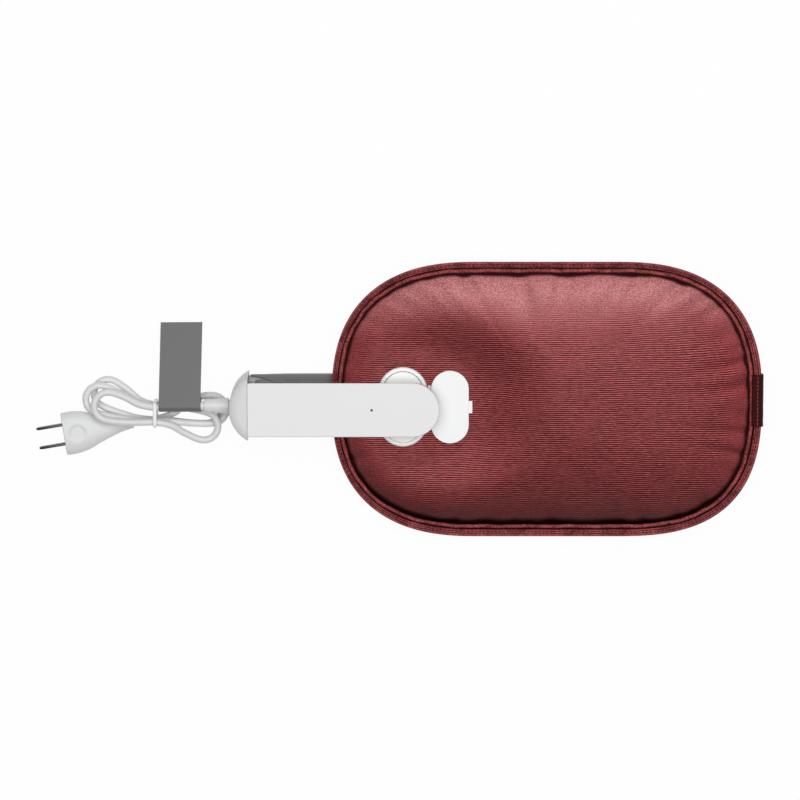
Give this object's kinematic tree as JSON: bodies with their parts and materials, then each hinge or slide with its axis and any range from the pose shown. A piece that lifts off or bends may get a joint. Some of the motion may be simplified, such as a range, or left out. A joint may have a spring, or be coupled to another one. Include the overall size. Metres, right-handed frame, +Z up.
{
  "type": "electric hot water bottle",
  "caption": "Sealed electric hot water bag in a ribbed fabric cover, with a charging port and lid, a sprung charging clip and a folded lead with a mains plug.",
  "frame": {"origin": "middle of the bag's flat underside, on the surface it rests on", "axes": "+X along the bag away from the clip, +Y across the bag towards the lead's label, +Z up"},
  "size_m": [0.4747, 0.18, 0.0455],
  "materials": {
    "ribbed_cloth": "ribbed velour, satin sheen",
    "edge_cloth": "woven tape and corded piping, satin",
    "dark_ribbon": "woven ribbon, satin",
    "film": "welded film, smooth",
    "white_plastic": "moulded, fine satin",
    "bright_plastic": "moulded, semi-gloss",
    "grey_plastic": "moulded, fine satin",
    "grey_rubber": "moulded, matte",
    "cord_jacket": "smooth sheath, satin",
    "label_film": "thin film, matte",
    "bright_steel": "bright",
    "dark_nickel": "dark plating",
    "brass": "machined",
    "board": "board",
    "live_sleeve": "wire sleeve",
    "neutral_sleeve": "wire sleeve",
    "amber": "moulded"
  },
  "bodies": {
    "bag_and_clip_base": {"cover_top": "ribbed_cloth", "cover_bottom": "ribbed_cloth", "edge_binding": "edge_cloth", "seam_piping": "edge_cloth", "hanging_loop": "dark_ribbon", "bladder": "film", "port_body": "bright_plastic", "port_gasket": "grey_rubber", "port_clamp_ring": "white_plastic", "contact_pin_1": "brass", "contact_pin_2": "brass", "heater_tube": "bright_steel", "heater_guard": "white_plastic", "thermostat": "bright_steel", "thermal_fuse": "amber", "lid_strap": "bright_plastic", "lower_arm_body": "grey_plastic", "lower_arm_cover": "white_plastic", "lower_screw_1": "bright_steel", "lower_screw_2": "bright_steel", "grip_pad": "grey_rubber", "hinge_pin": "bright_steel", "jaw_spring": "bright_steel", "safety_switch": "amber", "end_cap": "white_plastic", "cap_screw_1": "bright_steel", "cap_screw_2": "bright_steel", "cord_gland": "cord_jacket", "cord_hank": "cord_jacket", "cord_lead": "cord_jacket", "cord_tie": "bright_plastic", "cord_label": "label_film", "plug_body": "cord_jacket", "plug_pin_1": "dark_nickel", "plug_pin_2": "dark_nickel"},
    "jaw": {"arm_top_shell": "white_plastic", "arm_bottom_shell": "white_plastic", "arm_screw_1": "bright_steel", "arm_screw_2": "bright_steel", "connector_body": "bright_plastic", "contact_sleeve_1": "brass", "contact_sleeve_2": "brass", "connector_screw_1": "bright_steel", "connector_screw_2": "bright_steel", "circuit_board": "board", "indicator_led": "amber", "light_pipe": "dark_nickel", "arm_wire_1": "live_sleeve", "arm_wire_2": "neutral_sleeve"},
    "lid": {"port_lid": "bright_plastic"},
    "plunger": {"switch_plunger": "live_sleeve"}
  },
  "joints": [
    {"name": "jaw_hinge", "type": "hinge", "parent": "bag_and_clip_base", "child": "jaw", "pos_m": [-0.1969, -0.003, 0.037], "axis": [0, -1, 0], "range_deg": [0, 15], "stiffness_Nm_per_rad": 1.2, "springref_deg": -14.32, "deforming": ["jaw_spring"]},
    {"name": "plunger_slide", "type": "slide", "parent": "bag_and_clip_base", "child": "plunger", "axis": [0, 0, 1], "range_m": [0, 0.001]},
    {"name": "lid_hinge", "type": "hinge", "parent": "bag_and_clip_base", "child": "lid", "pos_m": [-0.0763, -0.003, 0.03], "axis": [0, -1, 0], "range_deg": [0, 30]}
  ],
  "couplings": [
    {"joint": "plunger_slide", "follows": "jaw_hinge", "m_per_rad": 0.0038}
  ]
}
